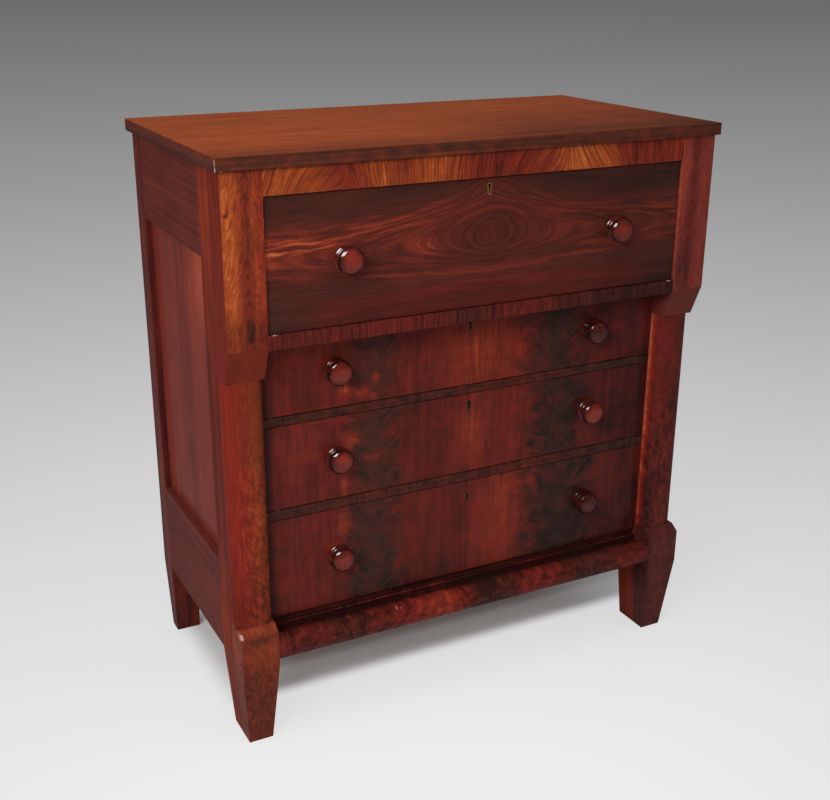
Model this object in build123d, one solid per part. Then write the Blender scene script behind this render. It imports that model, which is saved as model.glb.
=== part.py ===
"""Block front chest of drawers: frame-and-panel case, four dovetailed drawers on runners.

Millimetres. +Z is up, the front faces -Y, and the origin is on the floor under the middle of
the whole chest. Depths are measured back from the front plane of the upper blocks.
"""

from build123d import *

import os
from math import cos, radians, sin

# ---- case, overall -----------------------------------------------------------------------------
case_width = 1000.0
case_depth = 522.0
top_thickness = 23.0
top_side_overhang = 7.5
top_front_overhang = 7.0
top_back_overhang = 20.0
top_arris = 1.2
foot_height = 168.0

# ---- openings between the rails, from the top down: rail height, then opening height -----------
frieze_height = 45.0
drawer_openings = [236.0, 147.0, 165.5, 202.0]
divider_heights = [25.5, 16.5, 19.0]
base_rail_height = 50.0
base_rail_lift = 18.0

# ---- posts, blocks and pilasters ---------------------------------------------------------------
front_post_width = 73.0
front_post_depth = 58.0
rear_post_width = 60.0
rear_post_depth = 50.0
block_depth = 60.0
upper_block_height = 363.5
block_cant_height = 62.0
pilaster_setback = 26.0
pilaster_round = 24.0
foot_block_rise = 82.0
foot_block_setback = 7.0
foot_bevel_drop = 12.0
front_foot_taper = {"outer": 13.0, "inner": 12.5, "front": 20.7, "back": 9.0}
rear_foot_taper = {"outer": 8.5, "inner": 1.0, "front": 14.0, "back": 2.0}

# ---- sides and back ----------------------------------------------------------------------------
side_rail_thickness = 28.0
side_top_rail_height = 161.0
side_bottom_rail_height = 188.0
panel_setback = 13.0
panel_thickness = 8.0
panel_groove = 8.0
panel_play = 1.0
tenon_length = 22.0
tenon_thickness = 9.0
tenon_haunch = 14.0
tenon_play = 1.0
back_rail_thickness = 22.0
back_rail_height = 60.0
back_rail_tenon = 18.0
back_board_thickness = 10.0
back_board_count = 3
back_board_gap = 1.0
back_rabbet = 30.0

# ---- front rails and the roll moulding ---------------------------------------------------------
frieze_thickness = 32.0
divider_setback = 1.0
divider_tenon_length = 14.0
divider_tenon_thickness = 8.0
divider_tenon_width = 32.0
base_rail_inset = 10.0
base_rail_thickness = 28.0
roll_radius = 24.0
roll_front = 4.0
roll_rise = 28.0
roll_quirk_angle = 60.0
roll_fillet_rise = 28.0
roll_fillet_depth = 10.0

# ---- runners, guides, stops --------------------------------------------------------------------
runner_width = 42.0
runner_thickness = 18.0
guide_height = 22.0
guide_clearance = 0.6
kicker_width = 29.0
stop_width = 40.0
stop_length = 13.0
stop_height = 7.0
stop_spacing = 300.0
stop_clearance = 0.3
glue_block_leg = 22.0
glue_block_length = 70.0
glue_block_count = 3

# ---- drawers -----------------------------------------------------------------------------------
top_drawer_setback = 6.0
lower_drawer_inset = 2.0
drawer_gap = 1.6
drawer_back_room = 8.0
runner_clearance = 0.3
side_top_drop = 4.0
front_thickness = 22.0
side_thickness = 12.0
drawer_back_thickness = 11.0
drawer_back_drop = 5.0
bottom_thickness = 8.0
bottom_lift = 10.0
bottom_groove = 5.0
glue_line = 0.1
dovetail_lap = 6.0
dovetail_pitch = 36.0
dovetail_slope = 1.0 / 7.0
dovetail_pin_share = 0.4

# ---- knobs, locks ------------------------------------------------------------------------------
knob_reach = 28.0
knob_inset = 147.0
knob_head_radius = 23.3
knob_ring_radius = 22.2
knob_flange_radius = 22.6
knob_neck_radius = 17.8
knob_spigot_radius = 8.0
knob_flange = 3.4
knob_groove = 6.8
knob_crown = 1.6
knob_shoulder = 6.0
spigot_play = 0.15
spigot_recess = 0.5
keyhole_drops = [14.5, 18.5, 18.5, 30.0]
keyhole_radius = 3.4
keyhole_slot_width = 3.4
keyhole_slot_length = 14.0
escutcheon_border = 2.0
escutcheon_depth = 3.0
lock_width = 62.0
lock_case_width = 46.0
lock_case_depth = 11.0
lock_plate = 2.0
lock_below_key = 15.0
lock_edge = 5.0
bolt_width = 20.0
bolt_thickness = 6.0
bolt_height = 24.0
bolt_throw = 8.0
bolt_play = 0.25
bolt_foot_room = 1.0
bolt_wall = 1.0
keep_play = 1.5

# ---- derived places ----------------------------------------------------------------------------
drawer_count = len(drawer_openings)
half_width = case_width / 2
post_inner = half_width - front_post_width
rear_post_inner = half_width - rear_post_width
post_back = block_depth + front_post_depth
rear_post_front = case_depth - rear_post_depth
rail_inner = half_width - side_rail_thickness
board_front = case_depth - back_board_thickness
back_rail_front = board_front - back_rail_thickness
lower_setback = block_depth + lower_drawer_inset
drawer_setbacks = [top_drawer_setback] + [lower_setback] * (drawer_count - 1)
drawer_back_line = back_rail_front - drawer_back_room
knob_x = post_inner - knob_inset
knob_tip = top_drawer_setback - knob_reach
top_back = case_depth + top_back_overhang
origin_depth = (knob_tip + top_back) / 2
base_low = foot_height + base_rail_lift
base_top = base_low + base_rail_height
base_rail_front = block_depth + base_rail_inset
base_rail_back = base_rail_front + base_rail_thickness
foot_block_top = foot_height + foot_block_rise


def opening_heights():
    """Lowest and highest Z of every drawer opening, from the top drawer down."""
    spans = []
    upper = base_top + sum(drawer_openings) + sum(divider_heights)
    for index, height in enumerate(drawer_openings):
        spans.append((upper - height, upper))
        if index < len(divider_heights):
            upper -= height + divider_heights[index]
    return spans


openings = opening_heights()
case_top = openings[0][1] + frieze_height
pilaster_top = case_top - upper_block_height


def block(x0, x1, d0, d1, z0, z1):
    """A straight block between two X, two depths and two heights."""
    size = (x1 - x0, d1 - d0, z1 - z0)
    middle = ((x0 + x1) / 2, (d0 + d1) / 2 - origin_depth, (z0 + z1) / 2)
    return Pos(*middle) * Box(*size)


def across(profile, x0, x1):
    """A (depth, height) outline carried along X from x0 to x1."""
    wire = Polyline(*[(d - origin_depth, z) for d, z in profile], close=True)
    plane = Plane(origin=(x0, 0, 0), x_dir=(0, 1, 0), z_dir=(1, 0, 0))
    return extrude(plane * make_face(wire), x1 - x0)


def through(profile, d0, d1):
    """An (X, height) outline carried back from depth d0 to d1."""
    plane = Plane(origin=(0, d0 - origin_depth, 0), x_dir=(1, 0, 0), z_dir=(0, -1, 0))
    return extrude(plane * make_face(Polyline(*profile, close=True)), d0 - d1)


def pair(right):
    """The right-hand piece and its mirror image on the left."""
    return [mirror(right, about=Plane.YZ), right]


def leg_outline(x0, x1, top, taper, d0, d1):
    """Front outline of a leg that tapers below foot_height, carried back from d0 to d1."""
    feet = [(x0 + taper["inner"], 0), (x1 - taper["outer"], 0)]
    shaft = [(x1, foot_height), (x1, top), (x0, top), (x0, foot_height)]
    return through(feet + shaft, d0, d1)


# ---- joints shared by the pieces ---------------------------------------------------------------


def side_tenon(z_low, z_high, depth_face, towards, grow=0.0):
    """A tenon of a side rail, running from depth_face into the post."""
    middle = rail_inner + side_rail_thickness / 2
    x0 = middle - tenon_thickness / 2 - grow
    x1 = middle + tenon_thickness / 2 + grow
    z0, z1 = z_low + tenon_haunch - grow, z_high - tenon_haunch + grow
    far = depth_face + towards * (tenon_length + (tenon_play if grow else 0.0))
    return block(x0, x1, min(depth_face, far), max(depth_face, far), z0, z1)


def divider_tenon(z_low, z_high, grow=0.0):
    """The right-hand tenon of a divider, lying flat and let into the front post."""
    middle = (z_low + z_high) / 2
    half = divider_tenon_thickness / 2 + grow
    reach = divider_tenon_length + (tenon_play if grow else 0.0)
    depth = post_back - front_post_depth / 2
    d0, d1 = depth - divider_tenon_width / 2 - grow, depth + divider_tenon_width / 2 + grow
    return block(post_inner, post_inner + reach, d0, d1, middle - half, middle + half)


def base_tenon(grow=0.0):
    """The right-hand tenon of the base rail, standing on edge."""
    shoulder = (base_rail_thickness - tenon_thickness) / 2
    reach = divider_tenon_length + (tenon_play if grow else 0.0)
    z0, z1 = base_low + tenon_haunch - grow, base_top - tenon_haunch + grow
    d0, d1 = base_rail_front + shoulder - grow, base_rail_back - shoulder + grow
    return block(post_inner, post_inner + reach, d0, d1, z0, z1)


def back_tenon(z_low, z_high, grow=0.0):
    """The right-hand tenon of a back rail, let into the rear post."""
    middle = (back_rail_front + board_front) / 2
    half = tenon_thickness / 2 + grow
    reach = back_rail_tenon + (tenon_play if grow else 0.0)
    z0, z1 = z_low + tenon_haunch - grow, z_high - tenon_haunch + grow
    return block(rear_post_inner, rear_post_inner + reach, middle - half, middle + half, z0, z1)


side_rails = {
    "side_top_rail": (case_top - side_top_rail_height, case_top),
    "side_bottom_rail": (foot_height, foot_height + side_bottom_rail_height),
}
back_rails = {
    "back_top_rail": (case_top - back_rail_height, case_top),
    "back_bottom_rail": (foot_height, foot_height + back_rail_height),
}
panel_bottom = side_rails["side_bottom_rail"][1]
panel_top = side_rails["side_top_rail"][0]
panel_outer = half_width - panel_setback
divider_spans = [(low - height, low) for (low, _), height in zip(openings, divider_heights)]


def panel_slot(grow):
    """The side panel, or with a positive growth the groove that it stands in."""
    reach = panel_groove - (0.0 if grow else panel_play)
    x0, x1 = panel_outer - panel_thickness - grow, panel_outer + grow
    z0, z1 = panel_bottom - reach, panel_top + reach
    return block(x0, x1, post_back - reach, rear_post_front + reach, z0, z1)


# ---- the case ----------------------------------------------------------------------------------


def top_board():
    """The top, with its upper arris eased."""
    half = half_width + top_side_overhang
    board = block(-half, half, -top_front_overhang, top_back, case_top, case_top + top_thickness)
    rim = board.faces().sort_by(Axis.Z)[-1].edges()
    return chamfer(rim, top_arris)


def front_post():
    """The right front post, from the floor to the top, mortised for its rails and grooved."""
    profile = [
        (block_depth, 0),
        (post_back - front_foot_taper["back"], 0),
        (post_back, foot_height),
        (post_back, case_top),
        (block_depth, case_top),
    ]
    outline = (post_inner, half_width, case_top, front_foot_taper, block_depth, post_back)
    post = (across(profile, post_inner, half_width) & leg_outline(*outline)) - panel_slot(glue_line)
    for low, high in side_rails.values():
        post -= side_tenon(low, high, post_back, -1, glue_line)
    for low, high in divider_spans:
        post -= divider_tenon(low, high, glue_line)
    return post - base_tenon(glue_line)


def rear_post():
    """The right rear post with its tapered foot, rabbeted for the back boards."""
    profile = [
        (rear_post_front + rear_foot_taper["front"], 0),
        (case_depth - rear_foot_taper["back"], 0),
        (case_depth, foot_height),
        (case_depth, case_top),
        (rear_post_front, case_top),
        (rear_post_front, foot_height),
    ]
    outline = (rear_post_inner, half_width, case_top, rear_foot_taper, rear_post_front, case_depth)
    rabbet_edge = rear_post_inner + back_rabbet
    rabbet = block(rear_post_inner, rabbet_edge, board_front, case_depth, foot_height, case_top)
    post = across(profile, rear_post_inner, half_width) & leg_outline(*outline)
    post = post - rabbet - panel_slot(glue_line)
    for low, high in side_rails.values():
        post -= side_tenon(low, high, rear_post_front, 1, glue_line)
    for low, high in back_rails.values():
        post -= back_tenon(low, high, glue_line)
    return post


def side_rail(low, high):
    """A right-hand side rail with its two tenons, grooved for the panel."""
    rail = block(rail_inner, half_width, post_back, rear_post_front, low, high)
    rail += side_tenon(low, high, post_back, -1)
    rail += side_tenon(low, high, rear_post_front, 1)
    return rail - panel_slot(glue_line)


def upper_block():
    """The right upper block, canted back at its foot to the face of the pilaster."""
    cant_top = pilaster_top + block_cant_height
    profile = [
        (0, cant_top),
        (pilaster_setback, pilaster_top),
        (block_depth, pilaster_top),
        (block_depth, case_top),
        (0, case_top),
    ]
    return across(profile, post_inner, half_width)


def pilaster():
    """The right lower pilaster, with both front corners well rounded."""
    shaft = block(
        post_inner, half_width, pilaster_setback, block_depth, foot_block_top, pilaster_top
    )
    corners = shaft.edges().filter_by(Axis.Z).group_by(Axis.Y)[0]
    return fillet(corners, pilaster_round)


def foot_block():
    """The right foot block: bevelled on top, square, then tapered to the floor."""
    profile = [
        (foot_block_setback + front_foot_taper["front"], 0),
        (block_depth, 0),
        (block_depth, foot_block_top),
        (pilaster_setback, foot_block_top),
        (foot_block_setback, foot_block_top - foot_bevel_drop),
        (foot_block_setback, foot_height),
    ]
    outline = (post_inner, half_width, foot_block_top, front_foot_taper, 0, block_depth)
    return across(profile, post_inner, half_width) & leg_outline(*outline)


def bolt_keep(index):
    """The mortise over a drawer's lock, that the thrown bolt enters."""
    middle = drawer_setbacks[index] + bolt_line
    half_x = bolt_width / 2 + keep_play
    half_d = bolt_thickness / 2 + keep_play
    ceiling = openings[index][1]
    depth = bolt_throw - drawer_gap + keep_play
    return block(-half_x, half_x, middle - half_d, middle + half_d, ceiling, ceiling + depth)


def frieze_rail():
    """The rail under the top, between the upper blocks."""
    low, high = openings[0][1], case_top
    return block(-post_inner, post_inner, 0, frieze_thickness, low, high) - bolt_keep(0)


def divider(index):
    """The rail under drawer index, tenoned into both front posts."""
    low, high = divider_spans[index]
    face = 0.0 if index == 0 else block_depth + divider_setback
    rail = block(-post_inner, post_inner, face, post_back, low, high)
    for tenon in pair(divider_tenon(low, high)):
        rail += tenon
    return rail - bolt_keep(index + 1)


def base_rail():
    """The rail under the lowest drawer, set back behind the roll moulding."""
    rail = block(-post_inner, post_inner, base_rail_front, base_rail_back, base_low, base_top)
    for tenon in pair(base_tenon()):
        rail += tenon
    return rail


def roll_moulding():
    """The half-round roll between the front feet, with a quirk and a fillet behind it."""
    centre = (roll_front + roll_radius - origin_depth, foot_height + roll_rise)
    turn = radians(roll_quirk_angle)
    quirk = (centre[0] + roll_radius * sin(turn), centre[1] + roll_radius * cos(turn))
    bottom = (centre[0], centre[1] - roll_radius)
    nose = (centre[0] - roll_radius, centre[1])
    back = base_rail_front - origin_depth
    fillet_face = back - roll_fillet_depth
    fillet_top = centre[1] + roll_fillet_rise
    arc = ThreePointArc(bottom, nose, quirk)
    rest = Polyline(
        quirk,
        (fillet_face, quirk[1]),
        (fillet_face, fillet_top),
        (back, fillet_top),
        (back, bottom[1]),
        bottom,
    )
    plane = Plane(origin=(-post_inner, 0, 0), x_dir=(0, 1, 0), z_dir=(1, 0, 0))
    return extrude(plane * make_face(arc + rest), 2 * post_inner)


def back_rail(low, high):
    """A rail between the rear posts, tenoned into both."""
    rail = block(-rear_post_inner, rear_post_inner, back_rail_front, board_front, low, high)
    for tenon in pair(back_tenon(low, high)):
        rail += tenon
    return rail


def back_boards():
    """Boards laid across the back in the rabbets of the rear posts."""
    edge = rear_post_inner + back_rabbet
    pitch = (case_top - foot_height) / back_board_count
    boards = []
    for index in range(back_board_count):
        low = foot_height + index * pitch
        high = low + pitch - back_board_gap
        boards.append(block(-edge, edge, board_front, case_depth, low, high))
    return boards


def drawer_runners():
    """A pair of runners under every drawer, behind the front rails."""
    runners = []
    for index, (low, _) in enumerate(openings):
        start = base_rail_back if index == drawer_count - 1 else post_back
        inner = rear_post_inner - runner_width
        outer = rear_post_inner if start >= post_back else post_inner
        runner = block(inner, outer, start, back_rail_front, low - runner_thickness, low)
        if start < post_back:
            runner += block(
                inner, rear_post_inner, post_back, back_rail_front, low - runner_thickness, low
            )
        runners += pair(runner)
    return runners


def drawer_guides():
    """Strips on the runners that keep each drawer straight."""
    inner = drawer_half_width + guide_clearance
    guides = []
    for low, _ in openings:
        high = low + guide_height
        guides += pair(block(inner, rear_post_inner, post_back, back_rail_front, low, high))
    return guides


def kicker_strips():
    """Strips under the top that stop the upper drawer from tipping when it is open."""
    inner = post_inner - kicker_width
    low = openings[0][1]
    return pair(block(inner, post_inner, frieze_thickness, back_rail_front, low, case_top))


def drawer_stops():
    """Small blocks on the front rails that each closed drawer front rests against."""
    stops = []
    for (low, _), setback in zip(openings, drawer_setbacks):
        start = setback + front_thickness + stop_clearance
        middle = stop_spacing / 2
        x0, x1 = middle - stop_width / 2, middle + stop_width / 2
        stops += pair(block(x0, x1, start, start + stop_length, low, low + stop_height))
    return stops


def glue_blocks():
    """Three-cornered blocks between the top and each side top rail."""
    first, last = post_back, rear_post_front
    pitch = (last - first) / glue_block_count
    corner = [(0, 0), (-glue_block_leg, 0), (0, -glue_block_leg)]
    blocks = []
    for index in range(glue_block_count):
        start = first + (index + 0.5) * pitch - glue_block_length / 2
        corner_at = (rail_inner, start - origin_depth, case_top)
        plane = Plane(origin=corner_at, x_dir=(1, 0, 0), z_dir=(0, -1, 0))
        face = make_face(Polyline(*corner, close=True))
        blocks += pair(extrude(plane * face, -glue_block_length))
    return blocks


# ---- the drawers -------------------------------------------------------------------------------

drawer_half_width = post_inner - drawer_gap
bolt_line = front_thickness - lock_plate - bolt_wall - bolt_play - bolt_thickness / 2


class Drawer:
    """One drawer: its places worked out once, and a method for each of its pieces."""

    def __init__(self, index):
        low, high = openings[index]
        self.index = index
        self.face = drawer_setbacks[index]
        self.inner_face = self.face + front_thickness
        self.front_low = low + drawer_gap
        self.front_high = high - drawer_gap
        self.side_low = low + runner_clearance
        self.side_high = high - side_top_drop
        self.bottom_low = low + bottom_lift
        self.bottom_high = self.bottom_low + bottom_thickness
        self.back_high = self.side_high - drawer_back_drop
        self.back_face = drawer_back_line - drawer_back_thickness
        self.inner_x = drawer_half_width - side_thickness
        self.key_height = self.front_high - keyhole_drops[index]
        self.knob_height = (low + high) / 2

    def tails(self, root, tip, low, high, grow=0.0):
        """Right-hand dovetails from depth root, where they are narrow, out to depth tip."""
        count = max(2, round((high - low) / dovetail_pitch))
        pitch = (high - low) / count
        length = abs(tip - root)
        narrow = pitch * (1 - dovetail_pin_share) / 2 + grow
        wide = narrow + length * dovetail_slope
        direction = 1 if tip > root else -1
        far = tip + direction * grow
        solids = []
        for index in range(count):
            middle = low + (index + 0.5) * pitch
            profile = [
                (root, middle - narrow),
                (far, middle - wide),
                (far, middle + wide),
                (root, middle + narrow),
            ]
            solids.append(across(profile, self.inner_x - grow, drawer_half_width + grow))
        return solids

    def front_tails(self, grow=0.0):
        """The half-blind tails that enter the drawer front."""
        tip = self.face + dovetail_lap
        return self.tails(self.inner_face, tip, self.bottom_high, self.side_high, grow)

    def back_tails(self, grow=0.0):
        """The through tails at the back corner."""
        return self.tails(self.back_face, drawer_back_line, self.bottom_high, self.back_high, grow)

    def bottom_space(self, grow=0.0):
        """The bottom board, or with a positive growth the groove round it."""
        reach = bottom_groove - (0.0 if grow else panel_play)
        half = self.inner_x + reach
        z0, z1 = self.bottom_low - grow, self.bottom_high + grow
        return block(-half, half, self.inner_face - reach, drawer_back_line, z0, z1)

    def keyhole(self, border, depth_from, depth_to):
        """A keyhole outline, widened by border, cut between two depths."""
        radius = keyhole_radius + border
        width = keyhole_slot_width + 2 * border
        length = keyhole_slot_length + border
        centre = (0, depth_from - origin_depth, self.key_height)
        start = Plane(origin=centre, x_dir=(1, 0, 0), z_dir=(0, -1, 0))
        outline = Circle(radius) + Pos(0, -length / 2) * Rectangle(width, length)
        return extrude(start * outline, -(depth_to - depth_from))

    def lock_space(self, grow=0.0):
        """The lock: case, plate on the inner face and edge plate, as one form."""
        top = self.front_high
        low = self.key_height - lock_below_key
        case_face = self.inner_face - lock_case_depth
        half_case, half_plate = lock_case_width / 2 + grow, lock_width / 2 + grow
        case = block(-half_case, half_case, case_face - grow, self.inner_face, low - grow, top)
        plate_low = low - lock_edge - grow
        plate_face = self.inner_face - lock_plate - grow
        plate = block(-half_plate, half_plate, plate_face, self.inner_face, plate_low, top)
        edge_low = top - lock_plate - grow
        edge = block(-half_plate, half_plate, case_face - grow, self.inner_face, edge_low, top)
        return case + plate + edge

    def bolt_space(self, grow=0.0):
        """The bolt, or with a positive growth the slot that it slides in."""
        middle = self.face + bolt_line
        half_x = bolt_width / 2 + grow
        half_d = bolt_thickness / 2 + grow
        low = self.front_high - bolt_height - (bolt_foot_room if grow else 0.0)
        return block(-half_x, half_x, middle - half_d, middle + half_d, low, self.front_high)

    def front(self):
        """The drawer front, with half-blind sockets, groove, lock mortise and knob holes."""
        half = drawer_half_width
        board = block(-half, half, self.face, self.inner_face, self.front_low, self.front_high)
        for tail in self.front_tails(glue_line):
            board -= tail
            board -= mirror(tail, about=Plane.YZ)
        board -= self.bottom_space(glue_line)
        board -= self.lock_space(glue_line)
        lock_face = self.inner_face - lock_case_depth
        board -= self.keyhole(0.0, self.face - 1, lock_face)
        board -= self.keyhole(escutcheon_border, self.face - 1, self.face + escutcheon_depth)
        for x in (-knob_x, knob_x):
            hole = Cylinder(knob_spigot_radius + spigot_play, 3 * front_thickness, rotation=(90, 0, 0))
            board -= Pos(x, self.face - origin_depth, self.knob_height) * hole
        return board

    def sides(self):
        """Both sides, tails cut on each end and grooved for the bottom."""
        inner, outer = self.inner_x, drawer_half_width
        low, high = self.side_low, self.side_high
        side = block(inner, outer, self.inner_face, self.back_face, low, high)
        side += block(inner, outer, self.back_face, drawer_back_line, low, self.bottom_high)
        side += block(inner, outer, self.back_face, drawer_back_line, self.back_high, high)
        for tail in self.front_tails() + self.back_tails():
            side += tail
        return pair(side - self.bottom_space(glue_line))

    def back(self):
        """The back, above the bottom, with the pins between its sockets."""
        half = drawer_half_width
        low, high = self.bottom_high + glue_line, self.back_high - glue_line
        board = block(-half, half, self.back_face, drawer_back_line, low, high)
        for tail in self.back_tails(glue_line):
            board -= tail
            board -= mirror(tail, about=Plane.YZ)
        return board

    def bottom(self):
        """The bottom board, slid in from behind under the back."""
        return self.bottom_space()

    def knobs(self):
        """A pair of turned knobs, each with a spigot through the front."""
        centre = (0, self.face - origin_depth, self.knob_height)
        plane = Plane(origin=centre, x_dir=(1, 0, 0), z_dir=(0, 0, 1))
        knob = revolve(plane * knob_profile(), Axis(centre, (0, 1, 0)))
        return [Pos(x, 0, 0) * knob for x in (-knob_x, knob_x)]

    def lock(self):
        """The brass lock and the keyhole escutcheon let into the face."""
        case = self.lock_space() - self.bolt_space(bolt_play)
        ring = self.keyhole(escutcheon_border - glue_line, self.face, self.face + escutcheon_depth)
        ring -= self.keyhole(0.0, self.face - 1, self.face + escutcheon_depth + 1)
        return [case, ring]

    def bolt(self):
        """The lock bolt, drawn back."""
        return self.bolt_space()


def knob_profile():
    """Half outline of a knob: X is the radius, Y the depth, with the drawer face at 0."""
    ring_back = knob_flange + knob_groove
    ring_front = ring_back + knob_groove
    shoulder = knob_reach - knob_crown - knob_shoulder
    spigot_end = front_thickness - spigot_recess
    turning = Polyline(
        (0, spigot_end),
        (knob_spigot_radius, spigot_end),
        (knob_spigot_radius, 0),
        (knob_flange_radius, 0),
        (knob_flange_radius, -knob_flange),
        (knob_neck_radius, -(knob_flange + ring_back) / 2),
        (knob_ring_radius, -ring_back),
        (knob_neck_radius, -(ring_back + ring_front) / 2),
        (knob_head_radius, -ring_front),
        (knob_head_radius, -shoulder),
        (knob_head_radius - knob_shoulder, -knob_reach + knob_crown),
        (0, -knob_reach),
        close=True,
    )
    return make_face(turning)


# ---- every piece, by name ----------------------------------------------------------------------


def case_pieces():
    """Name to solids for the fixed case."""
    pieces = {
        "top_board": [top_board()],
        "frieze_rail": [frieze_rail()],
        "upper_divider": [divider(0)],
        "second_divider": [divider(1)],
        "third_divider": [divider(2)],
        "base_rail": [base_rail()],
        "roll_moulding": [roll_moulding()],
        "back_boards": back_boards(),
        "drawer_runners": drawer_runners(),
        "drawer_guides": drawer_guides(),
        "kicker_strips": kicker_strips(),
        "drawer_stops": drawer_stops(),
        "glue_blocks": glue_blocks(),
    }
    handed = {
        "front_post": front_post(),
        "rear_post": rear_post(),
        "side_panel": panel_slot(0.0),
        "upper_block": upper_block(),
        "pilaster": pilaster(),
        "foot_block": foot_block(),
    }
    handed |= {name: side_rail(*span) for name, span in side_rails.items()}
    for name, right in handed.items():
        for side, solid in zip(("left", "right"), pair(right)):
            pieces[f"{name}_{side}"] = [solid]
    pieces |= {name: [back_rail(*span)] for name, span in back_rails.items()}
    return pieces


def drawer_pieces():
    """Name to solids for the drawers, counted from the top."""
    pieces = {}
    for index in range(drawer_count):
        drawer = Drawer(index)
        name = f"drawer_{index + 1}"
        pieces[f"{name}_front"] = [drawer.front()]
        pieces[f"{name}_sides"] = drawer.sides()
        pieces[f"{name}_back"] = [drawer.back()]
        pieces[f"{name}_bottom"] = [drawer.bottom()]
        pieces[f"{name}_knobs"] = drawer.knobs()
        pieces[f"{name}_lock"] = drawer.lock()
        pieces[f"{name}_bolt"] = [drawer.bolt()]
    return pieces


def main():
    """Write one STEP file for each named piece."""
    os.makedirs("parts", exist_ok=True)
    for name, shapes in (case_pieces() | drawer_pieces()).items():
        solids = [solid for shape in shapes for solid in shape.solids()]
        export_step(Compound(solids), f"parts/{name}.step")


main()
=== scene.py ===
"""Looks of the block front chest: timbers, veneers, polish, turned knobs, brass and iron.

Metres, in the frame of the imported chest: +Z is up, the front faces -Y and the origin is on the
floor. Figures of the wood are worked out in millimetres: x across, d back from the front plane of
the upper blocks, and z up from the floor.
"""

import logging
import math
from collections.abc import Callable
from dataclasses import dataclass
from enum import Enum
from typing import Any, TypeAlias

import bpy
import numpy as np
from bpy.types import Material, Object, World
from mathutils import Matrix, Vector

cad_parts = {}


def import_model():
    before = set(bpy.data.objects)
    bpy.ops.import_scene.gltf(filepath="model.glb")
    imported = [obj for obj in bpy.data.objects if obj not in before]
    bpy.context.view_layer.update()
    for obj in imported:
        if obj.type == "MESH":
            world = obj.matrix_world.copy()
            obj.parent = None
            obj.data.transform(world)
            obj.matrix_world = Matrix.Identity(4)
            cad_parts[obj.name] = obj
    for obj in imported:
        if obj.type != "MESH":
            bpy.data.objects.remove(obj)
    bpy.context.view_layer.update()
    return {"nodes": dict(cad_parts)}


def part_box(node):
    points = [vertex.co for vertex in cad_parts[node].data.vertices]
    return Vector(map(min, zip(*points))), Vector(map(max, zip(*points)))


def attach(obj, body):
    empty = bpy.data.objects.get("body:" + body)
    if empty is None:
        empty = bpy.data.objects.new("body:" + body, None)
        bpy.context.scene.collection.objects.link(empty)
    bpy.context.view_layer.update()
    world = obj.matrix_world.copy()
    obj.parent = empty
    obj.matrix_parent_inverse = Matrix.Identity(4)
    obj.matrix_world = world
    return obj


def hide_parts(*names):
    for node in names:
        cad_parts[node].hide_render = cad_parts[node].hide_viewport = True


log = logging.getLogger("chest")

MM = 0.001
FRONT_PLANE = 260.0  # from the plane of the upper blocks' fronts back to the origin, in mm
VENEER = 1.0  # thickness of the veneer on a drawer front, in mm

Span: TypeAlias = tuple[float, float]
Point: TypeAlias = tuple[float, float, float]
Rgb: TypeAlias = tuple[float, float, float]
Rgba: TypeAlias = tuple[float, float, float, float]
Stops: TypeAlias = list[tuple[float, Rgba]]
Term: TypeAlias = "Value | float"


def linear(rgb: Rgb) -> Rgba:
    """Turn a screen colour into the linear one that shaders use.

    Args:
        rgb: red, green and blue from 0 to 255.

    Returns:
        The linear colour with full alpha.
    """
    parts = [c / 255 for c in rgb]
    parts = [c / 12.92 if c <= 0.04045 else ((c + 0.055) / 1.055) ** 2.4 for c in parts]
    return (*parts, 1.0)


# ---- shader trees written as expressions ----


def operator(operation: str, swapped: bool = False) -> Callable[["Value", Term], "Value"]:
    """Make the method of one operator, which adds a Math node.

    Args:
        operation: the Math node's operation.
        swapped: whether the other term comes first.

    Returns:
        The method.
    """

    def method(self: "Value", other: Term) -> "Value":
        """Combine this value with another one or with a number."""
        return self.tree.maths(operation, *((other, self) if swapped else (self, other)))

    return method


class Value:
    """An output in a shader tree, on which maths is written as a plain expression."""

    def __init__(self, tree: "Tree", socket: bpy.types.NodeSocket) -> None:
        """Keep the tree and the socket."""
        self.tree = tree
        self.socket = socket

    __add__ = __radd__ = operator("ADD")
    __sub__ = operator("SUBTRACT")
    __rsub__ = operator("SUBTRACT", swapped=True)
    __mul__ = __rmul__ = operator("MULTIPLY")
    __truediv__ = operator("DIVIDE")
    __rtruediv__ = operator("DIVIDE", swapped=True)
    __pow__ = operator("POWER")
    over = operator("MAXIMUM")

    def __abs__(self) -> "Value":
        """Drop the sign."""
        return self.tree.maths("ABSOLUTE", self)


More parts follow.
